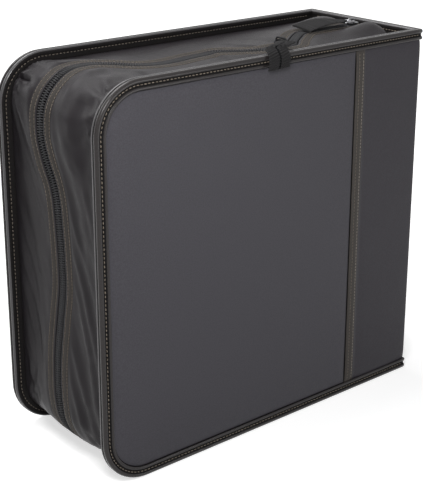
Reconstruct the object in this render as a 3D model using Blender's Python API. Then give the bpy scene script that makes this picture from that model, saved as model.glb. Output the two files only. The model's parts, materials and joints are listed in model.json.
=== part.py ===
"""Zip-around disc storage case, standing on its bottom edge, closed.

Metres, +Z up. The origin is at the middle of the base. The front cover faces -Y,
the opening edge is at -X and the spine at +X.
"""
import bpy
import bmesh
import math
from mathutils import Vector

# Overall size of the closed case, and the clearance between neighbouring pieces
CASE_WIDTH = 0.325
CASE_HEIGHT = 0.305
CASE_DEPTH = 0.131
CORNER_RADIUS = 0.038
FIT_GAP = 0.0003

# Folded binding round the three free edges of a cover, and along the spine's ends
BINDING_WALL = 0.0008
BINDING_EDGE = 0.0009
BINDING_FACE_WIDTH = 0.0085
BINDING_INNER_WIDTH = 0.0105
BINDING_BEVEL = 0.0006

# Layers of a cover from the outside in
LAP_THICKNESS = 0.0006
PANEL_THICKNESS = 0.0012
BOARD_THICKNESS = 0.0018
LINING_THICKNESS = 0.0006

# Leather strip that wraps the spine and laps over each cover panel
STRIP_WIDTH = 0.077
LAP_WIDTH = 0.012

# Fold between a cover and the spine
MITRE_GAP = 0.00045
WALL_END_GAP = 0.0004

# Cloth gusset with the zip along its middle
GUSSET_INSET = 0.009
GUSSET_THICKNESS = 0.001
GUSSET_FLAT = 0.013
GUSSET_END_AT_COVER = 0.026
GUSSET_END_AT_ZIP = 0.009
TAPE_THICKNESS = 0.0007
TAPE_HALF_WIDTH = 0.012
TAPE_END = 0.0095
CHAIN_HALF_GAP = 0.0008
CHAIN_HALF_WIDTH = 0.0036
CHAIN_HEIGHT = 0.0016
CLOTH_EDGE = 0.0042

# Sliders: place along the top, plates, centre wall and bail
FRONT_SLIDER_FROM_SPINE = 0.123
BACK_SLIDER_FROM_SPINE = 0.016
SLIDER_LENGTH = 0.011
SLIDER_HALF_WIDTH = 0.0046
SLIDER_PLATE = 0.0012
SLIDER_LOWER_PLATE = 0.001
SLIDER_WALL = 0.001
BAIL_LENGTH = 0.009
BAIL_THICKNESS = 0.0014
BAIL_WIDTH = 0.0016

# Pulls: a link on the bail and a ribbed ribbon
FRONT_LINK_RADIUS = 0.0008
FRONT_LINK_STRAIGHT = 0.007
BACK_LINK_RADIUS = 0.0007
BACK_LINK_LENGTH = 0.011
BACK_LINK_WIDTH = 0.010
RIBBON_THICKNESS = 0.0014
RIBBON_HALF_WIDTH = 0.0105
FRONT_RIBBON_SIDESTEP = 0.037
FRONT_RIBBON_DROP = 0.013
BACK_RIBBON_LENGTH = 0.047

# Sleeve pages on their binding strip
PAGE_STRIP_THICKNESS = 0.003
PAGE_END_ROOM = 0.053
PAGE_SIDE_ROOM = 0.0162
PAGE_COUNT = 24
PAGE_SPLIT = 0.0009
PAGE_SPLIT_DEPTH = 0.030
PAGE_CLEARANCE = 0.0045
PAGE_STAGGER = 0.003

# Zip line along the top: distance from the spine, place across the case, rise
FRONT_SLIDER_Y = -0.0235
BACK_SLIDER_Y = 0.0015
FRONT_RISE = 0.003
BACK_RISE = 0.005
FRONT_TRAVEL = 0.006
BACK_TRAVEL = 0.040
STRAIGHT_MARGIN = 0.002
BACK_STRAIGHT_MARGIN = 0.0085
ARC_STEPS = 6
TOP_STEP = 0.008
SIDE_STEP = 0.012
BOTTOM_STEP = 0.036

# Places that follow from the sizes
HALF_WIDTH = CASE_WIDTH / 2
HALF_DEPTH = CASE_DEPTH / 2
SKIN_DEPTH = BINDING_WALL + FIT_GAP
PANEL_DEPTH = SKIN_DEPTH + LAP_THICKNESS + FIT_GAP
SKIN_INNER = PANEL_DEPTH + PANEL_THICKNESS
BOARD_DEPTH = SKIN_INNER + FIT_GAP
LINING_DEPTH = BOARD_DEPTH + BOARD_THICKNESS + FIT_GAP
INNER_WALL_DEPTH = LINING_DEPTH + LINING_THICKNESS + FIT_GAP
COVER_DEPTH = INNER_WALL_DEPTH + BINDING_WALL
LAYER_INSET = BINDING_EDGE + FIT_GAP
GUSSET_EDGE_Y = HALF_DEPTH - COVER_DEPTH - FIT_GAP
GUSSET_BASE_INSET = GUSSET_INSET + GUSSET_THICKNESS
TAPE_TOP = -FIT_GAP
TAPE_BOTTOM = TAPE_TOP - TAPE_THICKNESS
CHAIN_BOTTOM = TAPE_TOP + FIT_GAP
CHAIN_TOP = CHAIN_BOTTOM + CHAIN_HEIGHT
PLATE_BOTTOM = CHAIN_TOP + FIT_GAP
PLATE_TOP = PLATE_BOTTOM + SLIDER_PLATE
LOWER_TOP = TAPE_BOTTOM - FIT_GAP
LOWER_BOTTOM = LOWER_TOP - SLIDER_LOWER_PLATE
FRONT_LINK_BEND = math.hypot(BAIL_WIDTH, BAIL_THICKNESS) / 2 + 1.5 * FIT_GAP + FRONT_LINK_RADIUS
FRONT_BAR_HEIGHT = PLATE_TOP + FIT_GAP + FRONT_LINK_BEND + FRONT_LINK_RADIUS
BACK_LINK_HEIGHT = PLATE_TOP + FIT_GAP + BACK_LINK_RADIUS
BACK_BAR_HEIGHT = BACK_LINK_HEIGHT + BACK_LINK_RADIUS + FIT_GAP + BAIL_THICKNESS / 2
ZIP_BASE_Z = CASE_HEIGHT - GUSSET_BASE_INSET
STRAIGHT_HALF = SLIDER_LENGTH / 2 + FRONT_TRAVEL + STRAIGHT_MARGIN
BACK_STRAIGHT_END = (BACK_SLIDER_FROM_SPINE + BACK_TRAVEL + SLIDER_LENGTH / 2
                     + BACK_STRAIGHT_MARGIN)
PAGE_STRIP_FACE = HALF_WIDTH - INNER_WALL_DEPTH
PAGE_ROOT = PAGE_STRIP_FACE - PAGE_STRIP_THICKNESS - FIT_GAP
PAGE_FORE_EDGE = -HALF_WIDTH + PAGE_END_ROOM
PAGE_STACK = CASE_DEPTH - 2 * (COVER_DEPTH + PAGE_SIDE_ROOM)


def clear_scene():
    for item in list(bpy.data.objects):
        bpy.data.objects.remove(item, do_unlink=True)


def finish_material(name, colour, roughness, metallic=0.0):
    material = bpy.data.materials.new(name)
    material.use_nodes = True
    shader = material.node_tree.nodes["Principled BSDF"]
    shader.inputs["Base Color"].default_value = (*colour, 1.0)
    shader.inputs["Roughness"].default_value = roughness
    shader.inputs["Metallic"].default_value = metallic
    return material


def make_materials():
    return {
        "leather": finish_material("leather", (0.065, 0.063, 0.075), 0.55),
        "spine_leather": finish_material("spine_leather", (0.045, 0.041, 0.047), 0.55),
        "binding": finish_material("binding", (0.085, 0.078, 0.078), 0.42),
        "board": finish_material("board", (0.42, 0.36, 0.27), 0.9),
        "lining": finish_material("lining", (0.012, 0.012, 0.014), 0.9),
        "gusset": finish_material("gusset", (0.062, 0.060, 0.066), 0.7),
        "tape": finish_material("tape", (0.012, 0.011, 0.012), 0.85),
        "teeth": finish_material("teeth", (0.05, 0.048, 0.048), 0.4),
        "slider": finish_material("slider", (0.16, 0.16, 0.165), 0.3, 1.0),
        "cord": finish_material("cord", (0.01, 0.01, 0.011), 0.7),
        "ribbon": finish_material("ribbon", (0.045, 0.043, 0.047), 0.75),
        "page": finish_material("page", (0.55, 0.56, 0.58), 0.6),
        "page_strip": finish_material("page_strip", (0.02, 0.02, 0.022), 0.85),
    }


def add_mesh(name, verts, faces, material, origin=(0.0, 0.0, 0.0), sharp=30.0):
    """Makes a closed mesh object whose own origin is at the given place."""
    start = Vector(origin)
    mesh = bpy.data.meshes.new(name)
    shape = bmesh.new()
    points = [shape.verts.new(Vector(place) - start) for place in verts]
    for face in faces:
        shape.faces.new([points[index] for index in face])
    bmesh.ops.recalc_face_normals(shape, faces=shape.faces)
    shape.to_mesh(mesh)
    shape.free()
    mesh.materials.append(material)
    mesh.shade_smooth()
    mesh.set_sharp_from_angle(angle=math.radians(sharp))
    made = bpy.data.objects.new(name, mesh)
    made.location = start
    bpy.context.scene.collection.objects.link(made)
    return made


def loft(name, rings, material, closed=False, origin=(0.0, 0.0, 0.0), sharp=30.0):
    """Joins rings of equal length with walls, and caps the two ends of an open run."""
    size = len(rings[0])
    verts = [place for ring in rings for place in ring]
    faces = []
    spans = len(rings) if closed else len(rings) - 1
    for step in range(spans):
        here = step * size
        there = ((step + 1) % len(rings)) * size
        for index in range(size):
            after = (index + 1) % size
            faces.append((here + index, here + after, there + after, there + index))
    if not closed:
        faces.append(tuple(range(size)))
        faces.append(tuple(range(len(verts) - size, len(verts))))
    return add_mesh(name, verts, faces, material, origin, sharp)


def thick_sheet(name, top, bottom, material, origin=(0.0, 0.0, 0.0)):
    """Closes two equal grids of points, given as rows, into one thick sheet."""
    rings = []
    for upper, lower in zip(top, bottom):
        rings.append(list(upper) + list(reversed(lower)))
    return loft(name, rings, material, origin=origin)


def combine(item, other, operation):
    """Joins another closed shape to a piece, or cuts it away, and drops the other."""
    join = item.modifiers.new(operation.lower(), "BOOLEAN")
    join.operation = operation
    join.solver = "EXACT"
    join.object = other
    other.hide_render = True
    other.display_type = "WIRE"


def box(name, low, high, material):
    """A plain block between two corners."""
    rings = []
    for x in (low[0], high[0]):
        rings.append([(x, low[1], low[2]), (x, high[1], low[2]),
                      (x, high[1], high[2]), (x, low[1], high[2])])
    return loft(name, rings, material)


def fold_end(depth):
    """How far a layer at this depth stops short of the outer plane beside the fold."""
    short = max(depth, SKIN_DEPTH) + MITRE_GAP / 2
    if depth < SKIN_DEPTH:
        short += WALL_END_GAP
    return short


def cover_outline(inset, spine_x, steps=10):
    """Outline of a cover, seen from the front, from the spine's foot to its head."""
    radius = CORNER_RADIUS - inset
    low = inset
    high = CASE_HEIGHT - inset
    left = -HALF_WIDTH + inset
    points = [(spine_x, low)]
    for step in range(steps + 1):
        angle = math.radians(270 - 90 * step / steps)
        points.append((left + radius + radius * math.cos(angle),
                       low + radius + radius * math.sin(angle)))
    for step in range(steps + 1):
        angle = math.radians(180 - 90 * step / steps)
        points.append((left + radius + radius * math.cos(angle),
                       high - radius + radius * math.sin(angle)))
    points.append((spine_x, high))
    return points


def cover_layer(name, side, outer, inner, material, straight_end=None):
    """One flat layer of a cover between two depths, mitred beside the spine fold."""
    rings = []
    for depth in (outer, inner):
        end = HALF_WIDTH - fold_end(depth) if straight_end is None else straight_end
        y = side * (HALF_DEPTH - depth)
        rings.append([(x, y, z) for x, z in cover_outline(LAYER_INSET, end)])
    return loft(name, rings, material)


def spine_strip(name, side, material):
    """The part of the wrapped strip that lies on a cover, with its lap lip."""
    lip_start = HALF_WIDTH - STRIP_WIDTH
    body_start = lip_start + LAP_WIDTH + FIT_GAP
    lip_inner = SKIN_DEPTH + LAP_THICKNESS
    section = [
        (lip_start, SKIN_DEPTH),
        (HALF_WIDTH - fold_end(SKIN_DEPTH), SKIN_DEPTH),
        (HALF_WIDTH - fold_end(SKIN_INNER), SKIN_INNER),
        (body_start, SKIN_INNER),
        (body_start, lip_inner),
        (lip_start, lip_inner),
    ]
    rings = []
    for z in (LAYER_INSET, CASE_HEIGHT - LAYER_INSET):
        rings.append([(x, side * (HALF_DEPTH - depth), z) for x, depth in section])
    return loft(name, rings, material)


def binding_profile():
    """Section of the folded binding as depth from the face and inset from the edge."""
    return [
        (0.0, BINDING_FACE_WIDTH),
        (0.0, BINDING_BEVEL),
        (BINDING_BEVEL, 0.0),
        (COVER_DEPTH - BINDING_BEVEL, 0.0),
        (COVER_DEPTH, BINDING_BEVEL),
        (COVER_DEPTH, BINDING_INNER_WIDTH),
        (INNER_WALL_DEPTH, BINDING_INNER_WIDTH),
        (INNER_WALL_DEPTH, BINDING_EDGE),
        (BINDING_WALL, BINDING_EDGE),
        (BINDING_WALL, BINDING_FACE_WIDTH),
    ]


def cover_binding(name, side, material):
    profile = binding_profile()
    outlines = []
    for depth, inset in profile:
        outlines.append(cover_outline(inset, HALF_WIDTH - fold_end(depth)))
    rings = []
    for step in range(len(outlines[0])):
        ring = []
        for (depth, inset), outline in zip(profile, outlines):
            x, z = outline[step]
            ring.append((x, side * (HALF_DEPTH - depth), z))
        rings.append(ring)
    return loft(name, rings, material)


def spine_binding(name, top, material):
    """The same binding across the head or the foot of the spine."""
    rings = []
    for side in (-1, 1):
        ring = []
        for depth, inset in binding_profile():
            z = CASE_HEIGHT - inset if top else inset
            ring.append((HALF_WIDTH - depth, side * (HALF_DEPTH - fold_end(depth)), z))
        rings.append(ring)
    return loft(name, rings, material)


def spine_layer(name, outer, inner, material):
    rings = []
    for z in (LAYER_INSET, CASE_HEIGHT - LAYER_INSET):
        ring = []
        for depth, side in ((outer, -1), (outer, 1), (inner, 1), (inner, -1)):
            ring.append((HALF_WIDTH - depth, side * (HALF_DEPTH - fold_end(depth)), z))
        rings.append(ring)
    return loft(name, rings, material)


def rim_lengths():
    """Lengths of the zip line's straight top, one corner and the straight side."""
    top = CASE_WIDTH - CORNER_RADIUS
    corner = (CORNER_RADIUS - GUSSET_BASE_INSET) * math.pi / 2
    side = CASE_HEIGHT - 2 * CORNER_RADIUS
    return top, corner, side


def zip_line_points():
    """Knots of the zip line: run from the head of the spine, place across, rise."""
    top, corner, side = rim_lengths()
    front = FRONT_SLIDER_FROM_SPINE
    between = front - STRAIGHT_HALF - BACK_STRAIGHT_END
    turn = front + 2 * STRAIGHT_HALF
    free = top - turn
    side_start = top + corner
    foot = side_start + side
    return [
        (0.0, BACK_SLIDER_Y, BACK_RISE),
        (BACK_STRAIGHT_END, BACK_SLIDER_Y, BACK_RISE),
        (BACK_STRAIGHT_END + 0.68 * between, -0.0135, 0.004),
        (front - STRAIGHT_HALF, FRONT_SLIDER_Y, FRONT_RISE),
        (front + STRAIGHT_HALF, FRONT_SLIDER_Y, FRONT_RISE),
        (turn, -0.0115, 0.0015),
        (turn + 0.11 * free, 0.0010, 0.001),
        (turn + 0.20 * free, 0.0022, 0.0),
        (turn + 0.50 * free, -0.0030, 0.0),
        (turn + 0.66 * free, -0.0002, 0.001),
        (turn + 0.82 * free, 0.0110, 0.003),
        (turn + 0.93 * free, 0.0145, 0.004),
        (top + 0.5 * corner, 0.0110, 0.004),
        (side_start + 0.04 * side, 0.0112, 0.005),
        (side_start + 0.13 * side, 0.0068, 0.004),
        (side_start + 0.21 * side, 0.0008, 0.002),
        (side_start + 0.29 * side, -0.0016, 0.001),
        (side_start + 0.53 * side, -0.0029, 0.0),
        (side_start + 0.67 * side, 0.0009, 0.001),
        (side_start + 0.80 * side, 0.0034, 0.003),
        (side_start + 0.93 * side, 0.0035, 0.004),
        (foot + 0.5 * corner, -0.0015, 0.003),
        (foot + corner + 0.2 * top, -0.0015, 0.0),
        (foot + corner + top, 0.0, 0.0),
    ]


def smooth_between(points, run, column):
    """Reads a smooth curve through the knots, flat where two neighbours are level."""
    last = len(points) - 1
    if run <= points[0][0]:
        return points[0][column]
    if run >= points[last][0]:
        return points[last][column]
    index = 0
    while points[index + 1][0] < run:
        index += 1

    def slope(knot):
        if knot == 0 or knot == last:
            return 0.0
        before = points[knot][column] - points[knot - 1][column]
        after = points[knot + 1][column] - points[knot][column]
        if before * after <= 0.0:
            return 0.0
        return (before + after) / (points[knot + 1][0] - points[knot - 1][0])

    span = points[index + 1][0] - points[index][0]
    t = (run - points[index][0]) / span
    start = points[index][column]
    end = points[index + 1][column]
    return (start * (1 + 2 * t) * (1 - t) ** 2 + end * t * t * (3 - 2 * t)
            + span * (slope(index) * t * (1 - t) ** 2 - slope(index + 1) * t * t * (1 - t)))


def rim_place(run):
    """Point and outward direction of the gusset's base line after a run along it."""
    top, corner, side = rim_lengths()
    inset = GUSSET_BASE_INSET
    radius = CORNER_RADIUS - inset
    left = -HALF_WIDTH + CORNER_RADIUS
    if run <= top:
        return (HALF_WIDTH - run, CASE_HEIGHT - inset), (0.0, 1.0)
    if run <= top + corner:
        angle = math.pi / 2 + (run - top) / radius
        out = (math.cos(angle), math.sin(angle))
        head = CASE_HEIGHT - CORNER_RADIUS
        return (left + radius * out[0], head + radius * out[1]), out
    if run <= top + corner + side:
        return (left - radius, CASE_HEIGHT - CORNER_RADIUS - (run - top - corner)), (-1.0, 0.0)
    if run <= top + 2 * corner + side:
        angle = math.pi + (run - top - corner - side) / radius
        out = (math.cos(angle), math.sin(angle))
        return (left + radius * out[0], CORNER_RADIUS + radius * out[1]), out
    return (left + run - (top + 2 * corner + side), inset), (0.0, -1.0)


def even_runs(start, end, step):
    count = max(1, round((end - start) / step))
    return [start + (end - start) * index / count for index in range(count)]


def rim_runs(start):
    """Stations along the gusset from its end at the head to its end at the foot."""
    top, corner, side = rim_lengths()
    foot = top + 2 * corner + side
    whole = foot + top
    runs = even_runs(start, top, TOP_STEP)
    runs += even_runs(top, top + corner, corner / ARC_STEPS)
    runs += even_runs(top + corner, top + corner + side, SIDE_STEP)
    runs += even_runs(top + corner + side, foot, corner / ARC_STEPS)
    runs += even_runs(foot, whole - start, BOTTOM_STEP)
    runs.append(whole - start)
    return runs


def gusset_point(run, y, side, level, knots):
    """Point of the gusset cloth: it rises from the cover's edge to the zip line."""
    (x, z), out = rim_place(run)
    centre = smooth_between(knots, run, 1)
    from_cover = GUSSET_EDGE_Y - side * y
    slope_width = GUSSET_EDGE_Y - side * centre - GUSSET_FLAT
    share = min(1.0, max(0.0, from_cover / slope_width))
    rise = smooth_between(knots, run, 2) * share * share * (3 - 2 * share)
    return (x + out[0] * (rise + level), y, z + out[1] * (rise + level))


def slanted_run(run, share, start):
    """Moves the runs near both free ends so that the end slants across the cloth."""
    top, corner, side = rim_lengths()
    whole = 2 * (top + corner) + side
    end = GUSSET_END_AT_COVER + (GUSSET_END_AT_ZIP - GUSSET_END_AT_COVER) * share
    if run < top:
        return top - (top - run) * (top - end) / (top - start)
    if run > whole - top:
        return whole - top + (run - whole + top) * (top - end) / (top - start)
    return run


def gusset(name, side, knots, material):
    start = GUSSET_END_AT_ZIP
    shares = (0.0, 0.3, 0.6, 1.0)
    grids = ([], [])
    for run in rim_runs(start):
        for grid, level in zip(grids, (GUSSET_THICKNESS, 0.0)):
            row = []
            for share in shares + (None,):
                moved = slanted_run(run, 1.0 if share is None else share, start)
                centre = smooth_between(knots, moved, 1)
                flat = side * centre + GUSSET_FLAT
                if share is None:
                    across = side * centre + CLOTH_EDGE
                else:
                    across = GUSSET_EDGE_Y + (flat - GUSSET_EDGE_Y) * share
                row.append(gusset_point(moved, side * across, side, level, knots))
            grid.append(row)
    return thick_sheet(name, grids[0], grids[1], material)


def zip_band(name, side, near, far, bottom, top, knots, material):
    """A narrow band that follows the zip line at two distances from its middle."""
    grids = ([], [])
    for run in rim_runs(TAPE_END):
        centre = smooth_between(knots, run, 1)
        for grid, level in zip(grids, (top, bottom)):
            row = []
            for across in (near, far):
                row.append(gusset_point(run, centre + side * across, side, level, knots))
            grid.append(row)
    return thick_sheet(name, grids[0], grids[1], material)


def slider_body(name, place, bar_height, material):
    """Cast slider: two plates, the wall between them and the bail on top."""
    plate = SLIDER_HALF_WIDTH
    wall = SLIDER_WALL / 2
    section = [
        (-plate, PLATE_TOP), (-plate, PLATE_BOTTOM), (-wall, PLATE_BOTTOM),
        (-wall, LOWER_TOP), (-plate, LOWER_TOP), (-plate, LOWER_BOTTOM),
        (plate, LOWER_BOTTOM), (plate, LOWER_TOP), (wall, LOWER_TOP),
        (wall, PLATE_BOTTOM), (plate, PLATE_BOTTOM), (plate, PLATE_TOP),
    ]
    rings = []
    for x in (-SLIDER_LENGTH / 2, SLIDER_LENGTH / 2):
        rings.append([(place[0] + x, place[1] + y, place[2] + z) for y, z in section])
    body = loft(name, rings, material, origin=place)
    bail = bail_arch(name + "_bail", place, bar_height, material)
    combine(body, bail, "UNION")
    return body


def bail_arch(name, place, bar_height, material):
    """Arch over the slider whose bar lies at the given height."""
    top = bar_height + BAIL_THICKNESS / 2
    under = bar_height - BAIL_THICKNESS / 2
    foot = PLATE_TOP - SLIDER_PLATE / 2
    half = BAIL_LENGTH / 2
    inner = half - BAIL_THICKNESS
    slant = BAIL_THICKNESS / 2
    profile = [
        (-half, foot), (-half, top - slant), (-half + slant, top),
        (half - slant, top), (half, top - slant), (half, foot),
        (inner, foot), (inner, under), (-inner, under), (-inner, foot),
    ]
    rings = []
    for y in (-BAIL_WIDTH / 2, BAIL_WIDTH / 2):
        rings.append([(place[0] + x, place[1] + y, place[2] + z) for x, z in profile])
    return loft(name, rings, material)


def wire_loop(name, path, normal, radius, material, origin, sides=8):
    """Round wire swept along a closed flat path."""
    across = Vector(normal)
    count = len(path)
    rings = []
    for index in range(count):
        here = Vector(path[index])
        along = (Vector(path[(index + 1) % count]) - Vector(path[index - 1])).normalized()
        outward = along.cross(across).normalized()
        ring = []
        for side in range(sides):
            angle = 2 * math.pi * (side + 0.5) / sides
            ring.append(here + across * radius * math.sin(angle)
                        + outward * radius * math.cos(angle))
        rings.append(ring)
    return loft(name, rings, material, closed=True, origin=origin, sharp=60.0)


def front_link(bar, material):
    """Cord loop round the front bail, reaching towards the front cover."""
    path = []
    for turn, centre in ((0, bar[1]), (180, bar[1] - FRONT_LINK_STRAIGHT)):
        for step in range(7):
            angle = math.radians(turn - 90 + 30 * step)
            path.append((bar[0], centre + FRONT_LINK_BEND * math.cos(angle),
                         bar[2] + FRONT_LINK_BEND * math.sin(angle)))
    return wire_loop("front_pull_cord", path, (1, 0, 0), FRONT_LINK_RADIUS, material, bar)


def back_link(pin, material):
    """Flat wire frame whose near bar turns under the back bail."""
    half = BACK_LINK_WIDTH / 2
    bend = BACK_LINK_RADIUS * 2
    corners = ((0.0, -half), (0.0, half), (-BACK_LINK_LENGTH, half), (-BACK_LINK_LENGTH, -half))
    path = []
    for index, (x, y) in enumerate(corners):
        inward_x = -bend if x == 0.0 else bend
        inward_y = bend if y < 0 else -bend
        first = (pin[0] + x + inward_x, pin[1] + y, pin[2])
        second = (pin[0] + x, pin[1] + y + inward_y, pin[2])
        mid = (pin[0] + x + inward_x * 0.3, pin[1] + y + inward_y * 0.3, pin[2])
        turn = (first, mid, second) if index % 2 == 0 else (second, mid, first)
        path.extend(turn)
    return wire_loop("back_pull_link", path, (0, 0, 1), BACK_LINK_RADIUS, material, pin)


def ribbon(name, stations, material, origin):
    """Thick ribbon through stations of middle, half width, half thickness and facing."""
    grids = ([], [])
    for middle, width, thickness in stations:
        centre = Vector(middle)
        across = Vector(width)
        facing = Vector(thickness)
        grids[0].append([centre - across + facing, centre + across + facing])
        grids[1].append([centre - across - facing, centre + across - facing])
    return thick_sheet(name, grids[0], grids[1], material, origin)


def front_ribbon(bar, material):
    """Ribbon from the cord loop, over the front cover's top edge and down its face."""
    half = RIBBON_THICKNESS / 2
    reach = bar[1] + HALF_DEPTH
    near = FRONT_LINK_STRAIGHT - FRONT_LINK_BEND + FRONT_LINK_RADIUS
    eye = FRONT_LINK_STRAIGHT + FRONT_LINK_BEND
    over = CASE_HEIGHT + FIT_GAP + half
    outside = -HALF_DEPTH - FIT_GAP - half
    wide = RIBBON_HALF_WIDTH
    narrow = 0.36 * wide
    edge_x = bar[0] - FRONT_RIBBON_SIDESTEP
    flat_reach = reach - COVER_DEPTH
    lean = math.sqrt(0.5) * half
    mid = (bar[0] + edge_x) / 2
    stations = [
        ((bar[0], bar[1] - near, bar[2]), (narrow, 0, 0), (0, 0, half)),
        ((bar[0] - 0.001, bar[1] - eye - 0.003, bar[2]), (narrow, 0, 0), (0, 0, half)),
        ((mid, bar[1] - 0.6 * flat_reach, (bar[2] + over) / 2 + half),
         (0.85 * wide, -0.45 * wide, 0), (0, 0, half)),
        ((edge_x, bar[1] - flat_reach, over + half), (wide, 0, 0), (0, 0, half)),
        ((edge_x, -HALF_DEPTH + half, over), (wide, 0, 0), (0, 0, half)),
        ((edge_x, outside + 0.4 * half, over - 0.4 * half), (wide, 0, 0), (0, -lean, lean)),
        ((edge_x, outside, CASE_HEIGHT - half), (wide, 0, 0), (0, -half, 0)),
        ((edge_x, outside - half, CASE_HEIGHT - FRONT_RIBBON_DROP), (wide, 0, 0), (0, -half, 0)),
    ]
    made = ribbon("front_pull_ribbon", stations, material, bar)
    hole = FRONT_LINK_RADIUS + FIT_GAP
    low = (bar[0] - hole, bar[1] - eye - hole, bar[2] - 4 * half)
    high = (bar[0] + hole, bar[1] - eye + hole, bar[2] + 4 * half)
    combine(made, box("front_ribbon_eye", low, high, material), "DIFFERENCE")
    return made


def back_ribbon(pin, material):
    """Ribbon folded round the outer bar of the link, lying along the zip."""
    half = RIBBON_THICKNESS / 2
    eye = BACK_LINK_RADIUS + FIT_GAP
    thick = eye + half
    narrow = BACK_LINK_WIDTH / 2 - BACK_LINK_RADIUS - 2 * FIT_GAP
    wide = RIBBON_HALF_WIDTH
    bar = pin[0] - BACK_LINK_LENGTH
    lift = 2 * half
    stations = [
        ((bar + thick, pin[1], pin[2]), (0, narrow, 0), (0, 0, thick * 0.6)),
        ((bar + 0.5 * thick, pin[1], pin[2]), (0, narrow, 0), (0, 0, thick)),
        ((bar - 1.5 * thick, pin[1], pin[2]), (0, narrow, 0), (0, 0, thick)),
        ((bar - 4 * thick, pin[1], pin[2] + half), (0, 0.9 * wide, 0), (0, 0, 1.5 * half)),
        ((bar - 0.5 * BACK_RIBBON_LENGTH, pin[1], pin[2] + lift), (0, wide, 0), (0, 0, half)),
        ((bar - 0.8 * BACK_RIBBON_LENGTH, pin[1], pin[2] + half), (0, wide, 0), (0, 0, half)),
        ((bar - BACK_RIBBON_LENGTH, pin[1], pin[2] - half), (0, wide, 0), (0, 0, half)),
    ]
    made = ribbon("back_pull_ribbon", stations, material, pin)
    sides = 8
    rings = []
    for y in (-BACK_LINK_WIDTH, BACK_LINK_WIDTH):
        ring = []
        for step in range(sides):
            angle = 2 * math.pi * (step + 0.5) / sides
            ring.append((bar + eye / math.cos(math.pi / sides) * math.cos(angle),
                         pin[1] + y,
                         pin[2] + eye / math.cos(math.pi / sides) * math.sin(angle)))
        rings.append(ring)
    combine(made, loft("back_ribbon_eye", rings, material), "DIFFERENCE")
    return made


def page_limits():
    """Foot and head of the pages inside the gusset and the zip's sliders."""
    margin = GUSSET_BASE_INSET + PAGE_CLEARANCE
    return margin, CASE_HEIGHT - margin - BACK_RISE


def page_binding_strip(material):
    foot, head = page_limits()
    low = (PAGE_STRIP_FACE - PAGE_STRIP_THICKNESS, -PAGE_STACK / 2, foot)
    return box("page_binding_strip", low, (PAGE_STRIP_FACE, PAGE_STACK / 2, head), material)


def sleeve_pages(material):
    """All sleeve pages as one solid, split into leaves along the opening edge."""
    foot, head = page_limits()
    pitch = (PAGE_STACK + PAGE_SPLIT) / PAGE_COUNT
    leaf = pitch - PAGE_SPLIT
    outline = [(PAGE_ROOT, PAGE_STACK / 2), (PAGE_ROOT, -PAGE_STACK / 2)]
    root = PAGE_FORE_EDGE + PAGE_SPLIT_DEPTH
    for index in range(PAGE_COUNT):
        low = -PAGE_STACK / 2 + index * pitch
        lean = PAGE_STAGGER * math.sin(2.4 * index)
        left = PAGE_FORE_EDGE + PAGE_STAGGER + lean
        if index > 0:
            outline.append((root, low))
        outline.append((left, low))
        outline.append((left, low + leaf))
        if index < PAGE_COUNT - 1:
            outline.append((root, low + leaf))
    rings = [[(x, y, z) for x, y in outline] for z in (foot, head)]
    return loft("sleeve_pages", rings, material)


def build_cover(word, side, knots, materials):
    panel_end = HALF_WIDTH - STRIP_WIDTH + LAP_WIDTH
    cover_layer(word + "_cover_panel", side, PANEL_DEPTH, SKIN_INNER,
                materials["leather"], straight_end=panel_end)
    spine_strip(word + "_spine_strip", side, materials["spine_leather"])
    cover_layer(word + "_cover_board", side, BOARD_DEPTH, BOARD_DEPTH + BOARD_THICKNESS,
                materials["board"])
    cover_layer(word + "_lining", side, LINING_DEPTH, LINING_DEPTH + LINING_THICKNESS,
                materials["lining"])
    cover_binding(word + "_binding", side, materials["binding"])
    gusset(word + "_gusset", side, knots, materials["gusset"])
    zip_band(word + "_zip_tape", side, CHAIN_HALF_GAP, TAPE_HALF_WIDTH,
             TAPE_BOTTOM, TAPE_TOP, knots, materials["tape"])
    zip_band(word + "_zip_teeth", side, CHAIN_HALF_GAP, CHAIN_HALF_WIDTH,
             CHAIN_BOTTOM, CHAIN_TOP, knots, materials["teeth"])


def build_spine(materials):
    spine_layer("spine_panel", SKIN_DEPTH, SKIN_INNER, materials["spine_leather"])
    spine_layer("spine_board", BOARD_DEPTH, BOARD_DEPTH + BOARD_THICKNESS,
                materials["board"])
    spine_layer("spine_lining", LINING_DEPTH, LINING_DEPTH + LINING_THICKNESS,
                materials["lining"])
    spine_binding("spine_top_binding", True, materials["binding"])
    spine_binding("spine_bottom_binding", False, materials["binding"])
    page_binding_strip(materials["page_strip"])
    sleeve_pages(materials["page"])


def build_sliders(materials):
    front = (HALF_WIDTH - FRONT_SLIDER_FROM_SPINE, FRONT_SLIDER_Y, ZIP_BASE_Z + FRONT_RISE)
    slider_body("front_slider", front, FRONT_BAR_HEIGHT, materials["slider"])
    bar = (front[0], front[1], front[2] + FRONT_BAR_HEIGHT)
    front_link(bar, materials["cord"])
    front_ribbon(bar, materials["ribbon"])

    back = (HALF_WIDTH - BACK_SLIDER_FROM_SPINE, BACK_SLIDER_Y, ZIP_BASE_Z + BACK_RISE)
    slider_body("back_slider", back, BACK_BAR_HEIGHT, materials["slider"])
    pin = (back[0], back[1], back[2] + BACK_LINK_HEIGHT)
    back_link(pin, materials["slider"])
    back_ribbon(pin, materials["ribbon"])


def main():
    clear_scene()
    materials = make_materials()
    knots = zip_line_points()
    build_cover("front", -1, knots, materials)
    build_cover("back", 1, knots, materials)
    build_spine(materials)
    build_sliders(materials)


main()
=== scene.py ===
import bpy
import bmesh
import json
from math import atan2, cos, exp, hypot, pi, radians, sin, sqrt
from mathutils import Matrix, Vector, noise


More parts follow.
